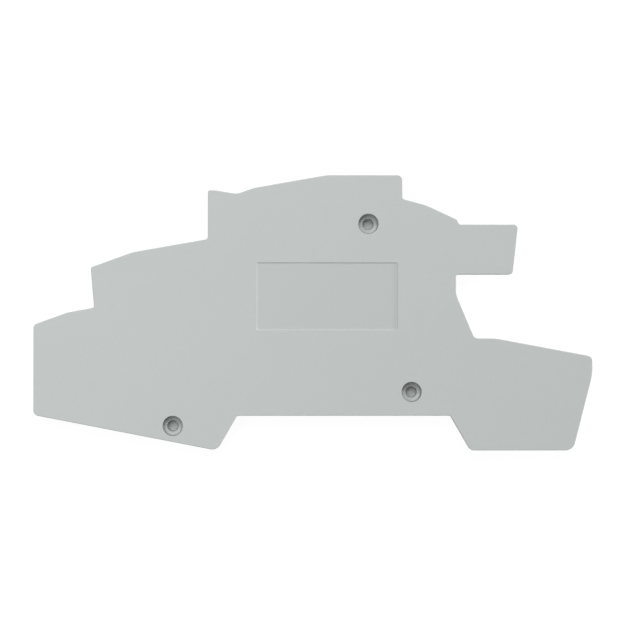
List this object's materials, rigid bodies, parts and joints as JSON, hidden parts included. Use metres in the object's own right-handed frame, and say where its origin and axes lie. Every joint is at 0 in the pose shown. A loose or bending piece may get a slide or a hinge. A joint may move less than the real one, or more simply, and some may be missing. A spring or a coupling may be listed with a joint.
{
  "type": "terminal block end cover",
  "caption": "Flat stepped plastic plate that closes the open side of a multi-level rail terminal block, with round pegs on its back.",
  "frame": {"origin": "middle of the bounding box, at the height of the peg tips, on which the cover lies", "axes": "+X across the mounting rail towards the busbar slot, +Y away from the rail, +Z out of the smooth front face"},
  "size_m": [0.099, 0.0488, 0.005],
  "materials": {
    "cover_plastic": "matte"
  },
  "bodies": {
    "root": {"end_cover": "cover_plastic"}
  },
  "joints": []
}
